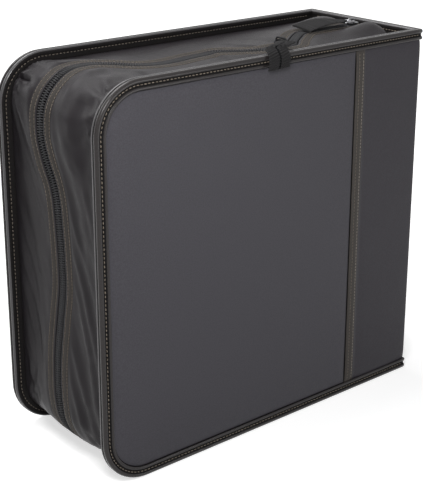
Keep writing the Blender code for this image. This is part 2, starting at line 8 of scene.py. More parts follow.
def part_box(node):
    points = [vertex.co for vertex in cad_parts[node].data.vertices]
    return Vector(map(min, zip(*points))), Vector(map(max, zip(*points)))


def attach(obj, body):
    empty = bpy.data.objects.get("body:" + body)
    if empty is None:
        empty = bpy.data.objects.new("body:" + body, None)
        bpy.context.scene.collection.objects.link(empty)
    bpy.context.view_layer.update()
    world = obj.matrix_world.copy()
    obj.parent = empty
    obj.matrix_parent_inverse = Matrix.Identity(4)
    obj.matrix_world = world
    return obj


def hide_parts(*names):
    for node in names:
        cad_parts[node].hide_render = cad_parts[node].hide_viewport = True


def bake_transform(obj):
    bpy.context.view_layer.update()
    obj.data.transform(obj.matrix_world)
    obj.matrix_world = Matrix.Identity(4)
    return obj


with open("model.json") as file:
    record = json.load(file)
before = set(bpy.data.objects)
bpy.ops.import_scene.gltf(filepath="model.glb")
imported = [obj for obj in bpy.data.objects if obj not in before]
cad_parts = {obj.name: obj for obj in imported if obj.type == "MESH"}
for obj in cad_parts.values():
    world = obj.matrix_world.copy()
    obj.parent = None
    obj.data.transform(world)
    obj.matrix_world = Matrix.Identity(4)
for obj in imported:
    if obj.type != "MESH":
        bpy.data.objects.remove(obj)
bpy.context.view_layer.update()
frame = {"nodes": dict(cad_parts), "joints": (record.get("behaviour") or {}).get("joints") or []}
print("frame loaded:", len(frame["nodes"]), "nodes")


# sizes of the case, read from the frame
bindingLow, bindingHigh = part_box("front_binding")
foreX = bindingLow[0]  # the opening edge
topZ = bindingHigh[2]
coverDepth = bindingHigh[1] - bindingLow[1]
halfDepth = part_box("back_binding")[1][1]
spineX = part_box("spine_top_binding")[1][0]  # the spine's outer plane
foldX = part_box("spine_panel")[1][0]  # the covers turn about this corner
skinDepth = spineX - foldX


def addObject(name, data):
    made = bpy.data.objects.new(name, data)
    bpy.context.scene.collection.objects.link(made)
    return made


camera = {
    "azimuth": -39.56,
    "elevation": 18.49,
    "distance": 0.975,
    "target": (-0.0085, 0.0, 0.1770),
    "lens": 87.3,
    "shiftY": -0.1,
}


def makeCamera():
    turn = radians(camera["azimuth"])
    rise = radians(camera["elevation"])
    back = Vector((sin(turn) * cos(rise), -cos(turn) * cos(rise), sin(rise)))
    lens = bpy.data.cameras.new("photoCamera")
    lens.lens = camera["lens"]
    lens.shift_y = camera["shiftY"]
    lens.clip_start = 0.02
    lens.clip_end = 30
    eye = addObject("photoCamera", lens)
    eye.location = Vector(camera["target"]) + back * camera["distance"]
    eye.rotation_euler = (-back).to_track_quat("-Z", "Y").to_euler()
    bpy.context.scene.camera = eye


# node helpers
def addNode(tree, kind, sockets):
    # each socket takes a value or another node's output
    node = tree.nodes.new("ShaderNode" + kind)
    for socket, value in sockets.items():
        if isinstance(value, bpy.types.NodeSocket):
            tree.links.new(value, node.inputs[socket])
        else:
            node.inputs[socket].default_value = value
    return node


def startFinish(name, colour, roughness, **sockets):
    finish = bpy.data.materials.new(name)
    finish.use_nodes = True
    tree = finish.node_tree
    shader = tree.nodes["Principled BSDF"]
    shader.inputs["Base Color"].default_value = (*colour, 1)
    shader.inputs["Roughness"].default_value = roughness
    for socket, value in sockets.items():
        shader.inputs[socket.replace("_", " ")].default_value = value
    return finish, tree, shader, addNode(tree, "TexCoord", {}).outputs["Object"]


def addNoise(tree, place, scale, detail=3.0, rough=0.55):
    sockets = {"Vector": place, "Scale": scale, "Detail": detail, "Roughness": rough}
    return addNode(tree, "TexNoise", sockets).outputs["Fac"]


def varyColour(tree, shader, source, colour, low, high, lowAt=0.3, highAt=0.7):
    # the colour times low where the source is under lowAt, times high where it is over highAt
    ramp = addNode(tree, "ValToRGB", {"Fac": source})
    for element, place, factor in zip(ramp.color_ramp.elements, (lowAt, highAt), (low, high)):
        element.position = place
        element.color = (*(channel * factor for channel in colour), 1)
    tree.links.new(ramp.outputs["Color"], shader.inputs["Base Color"])


def varyRoughness(tree, shader, source, low, high):
    span = addNode(tree, "MapRange", {"Value": source, "To Min": low, "To Max": high})
    tree.links.new(span.outputs["Result"], shader.inputs["Roughness"])


def addBumps(tree, shader, layers):
    # layers of source, strength and depth, each on top of the one before
    normal = None
    for source, strength, depth in layers:
        bump = addNode(tree, "Bump", {"Height": source, "Strength": strength, "Distance": depth})
        if normal:
            tree.links.new(normal, bump.inputs["Normal"])
        normal = bump.outputs["Normal"]
    tree.links.new(normal, shader.inputs["Normal"])


leathers = {
    # name, colour, roughness, strength of the grain, coat, specular
    "panel": ("panelLeather", (0.0425, 0.0405, 0.0475), 0.45, 0.4, 0.0, 0.15),
    "wrap": ("wrapLeather", (0.0258, 0.0236, 0.0285), 0.45, 0.4, 0.0, 0.15),
    "lap": ("lapLeather", (0.0345, 0.0298, 0.0262), 0.45, 0.4, 0.0, 0.15),  # sewn over the panel
    "binding": ("bindingLeather", (0.020, 0.0175, 0.0175), 0.42, 0.15, 1.0, 0.08),
    # painted shade: a darker copy of the binding leather for its inner return faces
    "bindingInside": ("bindingInside", (0.0105, 0.0095, 0.0095), 0.6, 0.15, 0.0, 0.06),
    # painted shade: a near-black copy for the stitch channel, the wall's crease and the panel's channel
    # under the binding
    "bindingGroove": ("bindingGroove", (0.007, 0.0065, 0.0065), 0.6, 0.15, 0.0, 0.05),
    "bindingRim": ("bindingRim", (0.050, 0.048, 0.050), 0.36, 0.15, 1.0, 0.2),  # painted highlight along the rear rim of the binding
}
leatherGrain = {
    "cells": 1100,  # a metre, about 0.9 mm each
    "mottle": 950,
    "pores": 2600,
    "dents": 70,
    "coatIor": 1.22,
}


def leatherFinish(name, colour, roughness, grain, coat, specular):
    finish, tree, shader, place = startFinish(
        name, colour, roughness, Specular_IOR_Level=specular,
        Coat_Weight=coat, Coat_Roughness=0.14, Coat_IOR=leatherGrain["coatIor"])
    mottle = addNoise(tree, place, leatherGrain["mottle"], 4, 0.7)
    varyColour(tree, shader, mottle, colour, 0.86, 1.14, 0.38, 0.62)
    cells = addNode(tree, "TexVoronoi", {"Vector": place, "Scale": leatherGrain["cells"]})
    cells.feature = "DISTANCE_TO_EDGE"
    addBumps(tree, shader, ((cells.outputs["Distance"], grain, 0.00025),
                            (addNoise(tree, place, leatherGrain["pores"], 2), grain * 0.5, 0.00012),
                            (addNoise(tree, place, leatherGrain["dents"]), 0.22, 0.0006)))
    varyRoughness(tree, shader, addNoise(tree, place, 45), roughness - 0.06, roughness + 0.08)
    return finish


cloths = {
    # name, colour, roughness, thread pitch, strength of the weave, specular
    "gusset": ("gussetCloth", (0.0140, 0.0122, 0.0138), 0.38, 0.00045, 0.2, 0.1),
    "hem": ("hemCloth", (0.0245, 0.0210, 0.0185), 0.6, 0.00045, 0.35, 0.12),
    "tape": ("tapeCloth", (0.004, 0.004, 0.0045), 0.85, 0.0007, 0.5, 0.05),
    "lining": ("liningCloth", (0.014, 0.014, 0.016), 0.8, 0.0006, 0.5, 0.12),
    "webbing": ("stripWebbing", (0.016, 0.016, 0.018), 0.85, 0.0011, 0.7, 0.12),
    "ribbon": ("ribbonWeave", (0.015, 0.0145, 0.015), 0.7, 0.0008, 0.5, 0.1),
}


def wovenFinish(name, colour, roughness, pitch, strength, specular):
    finish, tree, shader, place = startFinish(name, colour, roughness, Specular_IOR_Level=specular)
    varyColour(tree, shader, addNoise(tree, place, 30), colour, 0.9, 1.1)
    layers = []
    for direction in ("Y", "DIAGONAL"):
        threads = addNode(tree, "TexWave", {"Vector": place, "Scale": 0.314 / pitch, "Distortion": 0.3})
        threads.bands_direction = direction
        layers.append((threads.outputs["Fac"], strength, 0.00012))
    fine = addNoise(tree, place, 220, 4)
    addBumps(tree, shader, layers + [(fine, 0.12, 0.0005)])
    varyRoughness(tree, shader, fine, roughness - 0.05, roughness + 0.1)
    return finish


yarns = {
    "thread": ("tanThread", (0.150, 0.125, 0.100)),
    "paleThread": ("paleThread", (0.22, 0.20, 0.18)),
    "fineThread": ("brownThread", (0.120, 0.102, 0.084)),
    "coil": ("coilNylon", (0.034, 0.034, 0.036)),
    "cord": ("cordBlack", (0.008, 0.008, 0.009)),
}


def threadFinish(name, colour):
    finish, tree, shader, place = startFinish(name, colour, 0.75, Specular_IOR_Level=0.2)
    fibre = addNoise(tree, place, 1800, 2)
    varyColour(tree, shader, fibre, colour, 0.7, 1.25)
    addBumps(tree, shader, [(fibre, 0.4, 0.0002)])
    return finish


metals = {
    # name, colour, roughness
    "metal": ("sliderMetal", (0.24, 0.24, 0.25), 0.28),
    "darkMetal": ("sliderDarkMetal", (0.016, 0.016, 0.018), 0.45),
}


def metalFinish(name, colour, roughness):
    finish, tree, shader, place = startFinish(name, colour, roughness, Metallic=1.0)
    wear = addNoise(tree, place, 350, 4)
    varyColour(tree, shader, wear, colour, 0.75, 1.2)
    varyRoughness(tree, shader, wear, roughness - 0.08, roughness + 0.12)
    addBumps(tree, shader, [(addNoise(tree, place, 1400), 0.1, 0.0001)])
    return finish


inside = {"board": (0.36, 0.30, 0.22), "film": (0.52, 0.53, 0.56)}


def boardFinish(name, colour):
    finish, tree, shader, place = startFinish(name, colour, 0.9)
    lengthwise = addNode(tree, "Mapping", {"Vector": place, "Scale": (1, 1, 0.3)})
    fibre = addNoise(tree, lengthwise.outputs["Vector"], 260, 5)
    varyColour(tree, shader, fibre, colour, 0.75, 1.15)
    addBumps(tree, shader, [(fibre, 0.3, 0.0003)])
    return finish


def filmFinish(name, colour):
    finish, tree, shader, place = startFinish(name, colour, 0.3, Coat_Weight=0.7, Coat_Roughness=0.12)
    varyColour(tree, shader, addNoise(tree, place, 500, 4), colour, 0.85, 1.08)
    addBumps(tree, shader, [(addNoise(tree, place, 35, 2), 0.2, 0.002)])
    return finish


def makeFinishes():
    made = {"board": boardFinish("stiffBoard", inside["board"])}
    made["film"] = filmFinish("sleeveFilm", inside["film"])
    for rows, finishOf in ((leathers, leatherFinish), (cloths, wovenFinish), (yarns, threadFinish),
                           (metals, metalFinish)):
        for key, row in rows.items():
            made[key] = finishOf(*row)
    return made


makeCamera()
finishes = makeFinishes()
print("camera and finishes made")


# mesh helpers
def ripple(x, y, z):
    return noise.noise(Vector((x, y, z)))


def gridFaces(rows, columns, closed=False, first=0):
    faces = []
    for row in range(rows - 1):
        here = first + row * columns
        for column in range(columns if closed else columns - 1):
            after = (column + 1) % columns
            faces.append((here + column, here + after, here + columns + after, here + columns + column))
    return faces


def capFace(first, count):
    return tuple(range(first, first + count))


def makePiece(name, points, faces, finishNames, angle=50, marks=None):
    mesh = bpy.data.meshes.new(name)
    mesh.from_pydata([tuple(point) for point in points], [], faces)
    for key in finishNames:
        mesh.materials.append(finishes[key])
    if marks:
        mesh.polygons.foreach_set("material_index", marks)
    tidy = bmesh.new()
    tidy.from_mesh(mesh)
    bmesh.ops.remove_doubles(tidy, verts=tidy.verts, dist=1e-7)
    bmesh.ops.recalc_face_normals(tidy, faces=tidy.faces)
    tidy.to_mesh(mesh)
    tidy.free()
    mesh.shade_smooth()
    mesh.set_sharp_from_angle(angle=radians(angle))
    return addObject(name, mesh)


def orientOutward(piece, outward):
    # turns an open sheet so that its faces look along the given direction at each face
    mesh = piece.data
    if sum(face.normal.dot(outward(face.center)) * face.area for face in mesh.polygons) < 0:
        mesh.flip_normals()


def thicken(piece, thickness):
    solid = piece.modifiers.new("thickness", "SOLIDIFY")
    solid.thickness = thickness
    solid.offset = -1
    solid.use_even_offset = False
    bpy.context.view_layer.update()
    mesh = bpy.data.meshes.new_from_object(piece.evaluated_get(bpy.context.evaluated_depsgraph_get()))
    sheet = piece.data
    piece.modifiers.clear()
    piece.data = mesh
    mesh.name = sheet.name
    bpy.data.meshes.remove(sheet)
    mesh.set_sharp_from_angle(angle=radians(60))


def evenWalk(samples, pitch, start, end):
    # places at equal distances along samples of (point, up)
    lengths = [0.0]
    for index in range(1, len(samples)):
        lengths.append(lengths[-1] + (samples[index][0] - samples[index - 1][0]).length)
    usable = lengths[-1] - start - end
    count = max(1, int(usable / pitch))
    step = usable / count
    places = []
    index = 0
    for number in range(count):
        target = start + (number + 0.5) * step
        while index < len(lengths) - 2 and lengths[index + 1] < target:
            index += 1
        here, ahead = samples[index], samples[index + 1]
        share = (target - lengths[index]) / max(1e-9, lengths[index + 1] - lengths[index])
        up = here[1].lerp(ahead[1], share).normalized()
        places.append((here[0].lerp(ahead[0], share), (ahead[0] - here[0]).normalized(), up))
    return places


stitch = {
    # pitch, length, radius
    "plain": (0.0032, 0.0021, 0.00040),
    "fine": (0.0028, 0.0023, 0.00028),  # beside the zip and on the lap
    "sides": 6,
    "end": 0.0015,  # free at each end of a row
    # along the stitch, share of the radius, lift
    "rings": ((-0.5, 0.25, -0.55), (-0.34, 0.9, 0.1), (0.0, 1.0, 0.35), (0.34, 0.9, 0.1),
              (0.5, 0.25, -0.55)),
}


def addStitch(points, faces, centre, along, up, length, radius):
    across = along.cross(up).normalized()
    sides = stitch["sides"]
    first = len(points)
    for share, wide, lift in stitch["rings"]:
        middle = centre + along * share * length + up * lift * radius
        for side in range(sides):
            angle = 2 * pi * side / sides
            points.append(middle + (across * cos(angle) + up * sin(angle)) * radius * wide)
    faces.extend(gridFaces(len(stitch["rings"]), sides, True, first))
    faces.append(capFace(first, sides)[::-1])
    faces.append(capFace(len(points) - sides, sides))


def stitchRow(name, body, rows, kind="plain", thread="thread"):
    pitch, length, radius = stitch[kind]
    points, faces = [], []
    for samples in rows:
        for centre, along, up in evenWalk(samples, pitch, stitch["end"], stitch["end"]):
            addStitch(points, faces, centre, along, up, length, radius)
    piece = makePiece(name, points, faces, [thread], angle=80)
    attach(piece, body)


cover = {
    "cornerRadius": 0.038,
    "bindingFace": 0.0086,
    "stitchInset": 0.0047,
    "bendRadius": 0.0022,  # rounding of the fold beside the spine
    "coverStart": 0.0100,  # the straight run begins this far from the spine's plane
    "step": 0.007,
}


def coverPath(inset, rightX, step=cover["step"]):
    # outline of a cover as x and z, from the spine's foot round to its head
    corner = cover["cornerRadius"]
    radius = max(0.0005, corner - inset)
    left = foreX + inset
    low = inset
    high = topZ - inset
    middle = left + radius
    arcCount = max(4, round(corner * pi / 2 / (step * 0.6)))
    straightCount = max(2, round((spineX - foreX - corner) / step))
    sideCount = max(2, round((topZ - 2 * corner) / step))
    path = [(rightX + (middle - rightX) * number / straightCount, low) for number in range(straightCount)]

    def addArc(z, begin):
        for number in range(arcCount):
            angle = radians(begin - 90 * number / arcCount)
            path.append((middle + radius * cos(angle), z + radius * sin(angle)))

    addArc(low + radius, 270)
    for number in range(sideCount):
        path.append((left, low + radius + (high - low - 2 * radius) * number / sideCount))
    addArc(high - radius, 180)
    for number in range(straightCount + 1):
        path.append((middle + (rightX - left - radius) * number / straightCount, high))
    return path


def skin(side, x, depth, z):
    return Vector((x, side * (halfDepth - depth), z))


panel = {
    "lapFromSpine": 0.077,
    # inset from the outline, distance past the lap edge, depth below the binding's face
    "rings": ((0.0070, 0.0060, 0.0020), (0.0084, 0.0010, 0.00185), (0.0093, -0.0008, 0.0015),
              (0.0108, -0.0025, 0.00105), (0.0140, -0.0055, 0.0007), (0.0200, -0.0110, 0.00045),
              (0.0300, -0.0200, 0.00035), (0.0440, -0.0330, 0.0003), (0.0620, -0.0500, 0.0003)),
    "shadowRing": 1,  # the channel where the panel goes under its edges, painted dark as shade
    "step": 0.012,
    "wave": 0.00018,
    "waveReach": 0.02,  # the waves fade in over this width
    "thickness": 0.0011,
}
lapX = spineX - panel["lapFromSpine"]


def makePanel(word, side):
    points = []
    for inset, past, depth in panel["rings"]:
        path = coverPath(inset, lapX + past, panel["step"])
        share = min(1.0, (inset - panel["rings"][0][0]) / panel["waveReach"])
        for x, z in path:
            wave = panel["wave"] * ripple(x * 22, side * 3.0, z * 22)
            points.append(skin(side, x, depth + wave * share, z))
    columns = len(path)
    faces = gridFaces(len(panel["rings"]), columns, True)
    faces.append(capFace(len(points) - columns, columns))
    # the shadow ring takes the near-black finish as painted shade
    marks = [int(index // columns == panel["shadowRing"]) for index in range(len(faces))]
    piece = makePiece(word + "PanelLeather", points, faces, ["panel", "bindingGroove"], marks=marks)
    orientOutward(piece, lambda place: Vector((0, side, 0)))
    thicken(piece, panel["thickness"])
    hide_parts(word + "_cover_panel")
    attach(piece, word + "_half")


# leather that wraps the spine: from one cover's lap to the middle of the spine
wrap = {
    "thickness": 0.0009,
    "rowNear": 0.0034,  # stitch rows from the folded edge
    "rowFar": 0.0078,
    "lapWidth": 0.0092,
    "lapColumns": 10,  # section spans from the folded edge that take the lap's finish
    "dip": 0.00016,
    # rows near the head and foot, and how many rows lie between
    "levels": (0.0070, 0.0085, 0.0095, 0.0110, 0.0135, 0.0180, 0.0250),
    "rows": 28,
    "shares": (0.1, 0.2, 0.35, 0.5, 0.65, 0.8, 0.9, 0.97),
    "spineShares": (0.08, 0.2, 0.35, 0.5, 0.65, 0.8, 0.9, 1.0),
    "bend": (0, 22.5, 45, 67.5, 90),
    "foldReach": 0.007,  # the bend between a cover and the spine takes this much on each side
}


def wrapSection():
    near = lapX + wrap["rowNear"]
    far = lapX + wrap["rowFar"]
    end = lapX + wrap["lapWidth"]
    dip = wrap["dip"]
    section = [(lapX + 0.0004, 0.0013), (lapX, 0.0010), (lapX + 0.0002, 0.0007), (lapX + 0.0009, 0.0005),
               (near - 0.0012, 0.00046), (near, 0.0005 + dip), (near + 0.0012, 0.00046),
               (far - 0.0012, 0.00046), (far, 0.0005 + dip), (far + 0.0012, 0.0005),
               (end, 0.0006), (end + 0.0012, 0.0010), (end + 0.004, 0.0011)]
    for share in wrap["shares"]:
        x = end + (foldX - cover["bendRadius"] - end) * share
        section.append((x, skinDepth - 0.0005 * sin(pi * share) ** 0.7))
    return section


def bindingShadow(z):
    # the leather dips where it goes under the binding
    edge = min(z, topZ - z) - cover["bindingFace"]
    return 0.0009 * exp(-max(0.0, edge) / 0.0028)


def makeWrap(word, side):
    section = wrapSection()
    levels = list(wrap["levels"])
    count = wrap["rows"]
    between = topZ - 2 * levels[-1]
    heights = levels + [levels[-1] + between * number / count for number in range(1, count)]
    heights += [topZ - level for level in reversed(levels)]
    radius = cover["bendRadius"]
    bendX = foldX - radius
    bendY = halfDepth - skinDepth - radius
    points = []
    for z in heights:
        drop = bindingShadow(z)
        for x, depth in section:
            points.append(skin(side, x, depth + drop + 0.00012 * ripple(x * 30, side * 5.0, z * 30), z))
        for turn in wrap["bend"]:
            angle = radians(turn)
            out = radius - drop
            points.append(Vector((bendX + out * sin(angle), side * (bendY + out * cos(angle)), z)))
        for share in wrap["spineShares"]:
            y = bendY * (1 - share)
            puff = 0.0004 * sin(pi * min(1.0, share * 1.2) / 2)
            wave = 0.0001 * ripple(4.0, y * 30, z * 30)
            points.append(Vector((foldX + puff - drop + wave, side * y, z)))
    columns = len(points) // len(heights)
    faces = gridFaces(len(heights), columns)
    marks = [int(index % (columns - 1) < wrap["lapColumns"]) for index in range(len(faces))]
    piece = makePiece(word + "SpineWrap", points, faces, ["wrap", "lap"], angle=60, marks=marks)
    orientOutward(piece, lambda place: Vector((place.x - 0.1, place.y * 2, 0)))
    thicken(piece, wrap["thickness"])
    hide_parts(word + "_spine_strip", "spine_panel")
    blendAtFold(piece)


def blendAtFold(piece):
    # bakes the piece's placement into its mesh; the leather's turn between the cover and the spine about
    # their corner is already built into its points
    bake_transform(piece)


# folded binding: its section and the limits of its finishes are in millimetres
binding = {
    "insideFrom": 6.7,
    "faceGroove": (3.1, 6.4),  # inset of the stitch channel, painted dark as shade
    "wallGroove": (3.0, 4.7),  # depth of the crease round the outer wall, painted dark as shade
    "rimFrom": 4.7,
    "finishes": ("binding", "bindingInside", "bindingGroove", "bindingRim"),
    # depth from the face and inset from the outer edge
    "section": (
        (1.45, 8.6), (0.85, 8.8), (0.35, 8.65), (0.05, 8.1), (0.08, 7.2), (0.4, 6.5), (0.95, 6.1),
        (1.15, 5.4), (1.2, 4.7), (1.1, 4.0), (0.8, 3.5), (0.25, 3.1), (0.0, 2.5), (0.1, 1.6), (0.45, 0.8),
        (1.0, 0.28), (1.8, 0.03), (2.7, 0.03), (3.3, 0.3), (3.7, 0.8), (4.2, 0.85), (4.5, 0.35), (5.0, 0.05),
        (5.7, 0.1), (6.4, 0.5), (6.9, 1.2), (7.22, 2.2), (7.3, 3.2), (7.0, 4.2), (6.86, 4.7), (7.0, 5.3),
        (7.28, 7.0), (7.25, 9.6), (7.0, 10.4), (6.5, 10.4), (6.5, 1.2), (1.7, 1.2), (1.7, 7.8)),
    "pucker": 0.00007,
    # places from the middle of the spine to the cover: across the case, then round the corner
    "stops": [number * 0.007 for number in range(9)] + ["spineEnd", "mitre", "coverEnd"],
}


def bindingSlot(first, second):
    # place in binding["finishes"] of the span between two section points
    depth = (first[0] + second[0]) / 2
    inset = (first[1] + second[1]) / 2
    # the inner return faces get the darker finish that paints their shade
    if first[0] > binding["insideFrom"]:
        return 1
    # the stitch channel and the wall's crease get the near-black finish that paints their shade
    onFace = depth < 2 and binding["faceGroove"][0] < inset < binding["faceGroove"][1]
    onWall = inset < 1 and binding["wallGroove"][0] < depth < binding["wallGroove"][1]
    if onFace or onWall:
        return 2
    # the rear rim gets the lighter finish that paints its highlight
    return 3 if depth > binding["rimFrom"] and inset < 1.4 else 0


def bindingPlace(side, depth, stop, z):
    bend = cover["bendRadius"]
    shift = max(bend, depth + 0.001)
    if stop == "coverEnd":
        return Vector((spineX - shift, side * (halfDepth - depth), z))
    if stop == "mitre" and depth < bend:
        out = (bend - depth) * sqrt(0.5)
        return Vector((spineX - bend + out, side * (halfDepth - bend + out), z))
    across = {"spineEnd": halfDepth - shift, "mitre": halfDepth - depth}.get(stop, stop)
    return Vector((spineX - depth, side * across, z))


def makeBinding(word, side):
    section = [(depth / 1000, inset / 1000) for depth, inset in binding["section"]]
    stops = binding["stops"]
    foot = [[bindingPlace(side, depth, stop, inset) for depth, inset in section] for stop in stops]
    head = [[bindingPlace(side, depth, stop, topZ - inset) for depth, inset in section]
            for stop in stops[::-1]]
    paths = [coverPath(inset, spineX - cover["coverStart"]) for depth, inset in section]
    around = []
    for number in range(len(paths[0])):
        around.append([skin(side, path[number][0], depth, path[number][1])
                       for (depth, inset), path in zip(section, paths)])
    rings = foot + around + head
    points = []
    for ring in rings:
        for point in ring:
            pucker = binding["pucker"] * ripple(point.x * 90, point.z * 90, side * 7.0 + point.y * 20)
            points.append(point + Vector((0, side * pucker, 0)))
    columns = len(section)
    faces = gridFaces(len(rings), columns, True)
    faces += [capFace(0, columns), capFace(len(points) - columns, columns)]
    outline = binding["section"]
    slots = [bindingSlot(outline[index], outline[(index + 1) % columns]) for index in range(columns)]
    marks = [slots[index % columns] for index in range(len(faces))]
    piece = makePiece(word + "EdgeBinding", points, faces, binding["finishes"], angle=70, marks=marks)
    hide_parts(word + "_binding", "spine_top_binding", "spine_bottom_binding")
    blendAtFold(piece)


def bindingStitches(word, side):
    for name, depth, facing, fromSpine, thread in (
            ("BindingStitches", 0.0009, side, 0.0035, "thread"),
            ("InnerStitches", coverDepth - 0.0003, -side, 0.011, "fineThread")):
        path = coverPath(cover["stitchInset"], spineX - fromSpine)
        row = [(skin(side, x, depth, z), Vector((0, facing, 0))) for x, z in path]
        stitchRow(word + name, word + "_half", [row], thread=thread)


def spineStitches():
    rows = []
    for z in (cover["stitchInset"], topZ - cover["stitchInset"]):
        for depth, fromEnd, facing in ((0.0009, 0.0035, 1), (coverDepth - 0.0003, 0.012, -1)):
            reach = halfDepth - fromEnd
            rows.append([(Vector((spineX - depth, y, z)), Vector((facing, 0, 0)))
                         for y in (-reach, 0, reach)])
    stitchRow("spineBindingStitches", "spine_section", rows)


def seamStitches(word, side):
    heights = [0.0095 + (topZ - 0.019) * number / 40 for number in range(41)]
    for name, offset, thread in (("LapStitches", wrap["rowNear"], "fineThread"),
                                 ("SeamStitches", wrap["rowFar"], "paleThread")):
        row = [(skin(side, lapX + offset, 0.0006 + bindingShadow(z), z), Vector((0, side, 0)))
               for z in heights]
        stitchRow(word + name, word + "_half", [row], "fine", thread)


for word, side in (("front", -1), ("back", 1)):
    makePanel(word, side)
    makeWrap(word, side)
    makeBinding(word, side)
    bindingStitches(word, side)
    seamStitches(word, side)
spineStitches()
print("covers and spine dressed")


gusset = {
    "baseInset": 0.010,
    "thickness": 0.001,
    "clothThickness": 0.0007,
    "edgeY": halfDepth - coverDepth - 0.0003,
    # the zip's line: sliders and straight stretches as runs from the spine's head
    "frontSlider": 0.123,
    "frontY": -0.0235,
    "backY": 0.0015,
    "straightHalf": 0.0135,
    "backStraight": 0.070,
    "frontRise": 0.003,
    "backRise": 0.005,
    "endAtZip": 0.009,
    "endAtCover": 0.026,
    # distances from the middle of the zip: the cloth's edge, two stitch rows, the hem's end
    "hem": (0.0046, 0.0073, 0.0129, 0.0148),
    "step": 0.0026,
    "smooth": 0.010,  # the hem follows the zip's direction over this length
    "columns": 22,
    "flat": (0.074, 0.875),  # the strip before it is sewn in
    "flatArea": {"front": 0.048, "back": 0.048},
}


def hemSection():
    # distance from the middle of the zip and height
    edge, near, far, end = gusset["hem"]
    return ((edge + 0.0001, 0.0004), (edge, 0.0007), (edge + 0.0003, 0.0010), (edge + 0.0010, 0.00112),
            (near - 0.0009, 0.0011), (near, 0.0009), (near + 0.0009, 0.0011), ((near + far) / 2, 0.00125),
            (far - 0.0009, 0.0011), (far, 0.00085), (far + 0.0008, 0.00095), (end, 0.0009))


hemLevels = hemSection()

# lengths along the rim: the top, one rounded corner, the opening edge, and all of it
topRun = spineX - foreX - cover["cornerRadius"]
cornerRun = (cover["cornerRadius"] - gusset["baseInset"]) * pi / 2
sideRun = topZ - 2 * cover["cornerRadius"]
wholeRun = 2 * (topRun + cornerRun) + sideRun


def zipKnots():
    # run from the spine's head, place across the case, rise above the gusset's base
    front = gusset["frontSlider"]
    straight = gusset["straightHalf"]
    begin = gusset["backStraight"]
    between = front - straight - begin
    turn = front + 2 * straight
    knots = [
        (0.0, gusset["backY"], gusset["backRise"]),
        (begin, gusset["backY"], gusset["backRise"]),
        (begin + 0.68 * between, -0.0135, 0.004),
        (front - straight, gusset["frontY"], gusset["frontRise"]),
        (front + straight, gusset["frontY"], gusset["frontRise"]),
    ]
    # shares of the way from the front slider to the first corner
    knots += [(turn + share * (topRun - turn), y, rise) for share, y, rise in (
        (0.0, -0.0115, 0.0015), (0.11, 0.0010, 0.001), (0.20, 0.0022, 0.0), (0.50, -0.0030, 0.0),
        (0.66, -0.0002, 0.001), (0.82, 0.0110, 0.003), (0.93, 0.0145, 0.004))]
    knots.append((topRun + 0.5 * cornerRun, 0.0110, 0.004))
    # shares of the way down the opening edge
    knots += [(topRun + cornerRun + share * sideRun, y, rise) for share, y, rise in (
        (0.04, 0.0112, 0.005), (0.13, 0.0068, 0.004), (0.21, 0.0008, 0.002), (0.29, -0.0016, 0.001),
        (0.53, -0.0029, 0.0), (0.67, 0.0009, 0.001), (0.80, 0.0034, 0.003), (0.93, 0.0035, 0.004))]
    foot = topRun + cornerRun + sideRun
    knots.append((foot + 0.5 * cornerRun, -0.0015, 0.003))
    knots.append((foot + cornerRun + 0.2 * topRun, -0.0015, 0.0))
    knots.append((foot + cornerRun + topRun, 0.0, 0.0))
    return knots


def readCurve(knots, run, column):
    # smooth curve through the knots that doesn't overshoot them
    last = len(knots) - 1
    run = min(max(run, knots[0][0]), knots[last][0])
    index = 0
    while knots[index + 1][0] < run:
        index += 1

    def slope(knot):
        if knot in (0, last):
            return 0.0
        before = knots[knot][column] - knots[knot - 1][column]
        after = knots[knot + 1][column] - knots[knot][column]
        if before * after <= 0.0:
            return 0.0
        return (before + after) / (knots[knot + 1][0] - knots[knot - 1][0])

    span = knots[index + 1][0] - knots[index][0]
    share = (run - knots[index][0]) / span
    rest = 1 - share
    start = knots[index][column]
    end = knots[index + 1][column]
    return (start * (1 + 2 * share) * rest ** 2 + end * share * share * (3 - 2 * share)
            + span * (slope(index) * share * rest ** 2 - slope(index + 1) * share * share * rest))


zipLine = zipKnots()


def rimPlace(run):
    # place on the gusset's base line and the outward direction there
    inset = gusset["baseInset"]
    radius = cover["cornerRadius"] - inset
    left = foreX + cover["cornerRadius"]
    head = topZ - cover["cornerRadius"]

    def corner(z, angle):
        out = Vector((cos(angle), 0, sin(angle)))
        return Vector((left, 0, z)) + out * radius, out

    if run <= topRun:
        return Vector((spineX - run, 0, topZ - inset)), Vector((0, 0, 1))
    if run <= topRun + cornerRun:
        return corner(head, pi / 2 + (run - topRun) / radius)
    if run <= topRun + cornerRun + sideRun:
        return Vector((left - radius, 0, head - (run - topRun - cornerRun))), Vector((-1, 0, 0))
    if run <= topRun + 2 * cornerRun + sideRun:
        return corner(cover["cornerRadius"], pi + (run - topRun - cornerRun - sideRun) / radius)
    return Vector((left + run - (topRun + 2 * cornerRun + sideRun), 0, inset)), Vector((0, 0, -1))


def zipFrame(run, reach=0.001):
    # middle of the zip, its direction, the outward direction and the direction towards the back cover
    def middle(place):
        base, out = rimPlace(place)
        return base + out * readCurve(zipLine, place, 2) + Vector((0, readCurve(zipLine, place, 1), 0)), out

    here, out = middle(run)
    ahead, outAhead = middle(run + reach)
    behind, outBehind = middle(run - reach)
    along = (ahead - behind).normalized()
    up = (outAhead + outBehind).normalized()
    up = (up - along * up.dot(along)).normalized()
    return here, along, up, towardsBack(up, along)


def towardsBack(up, along):
    across = up.cross(along)
    return -across if across.y < 0 else across


def slantedRun(run, share):
    # the free ends slant from the zip, share 1, to the cover, share 0
    start = gusset["endAtZip"]
    end = gusset["endAtCover"] + (start - gusset["endAtCover"]) * share
    if run < topRun:
        return topRun - (topRun - run) * (topRun - end) / (topRun - start)
    if run > wholeRun - topRun:
        return wholeRun - topRun + (run - wholeRun + topRun) * (topRun - end) / (topRun - start)
    return run


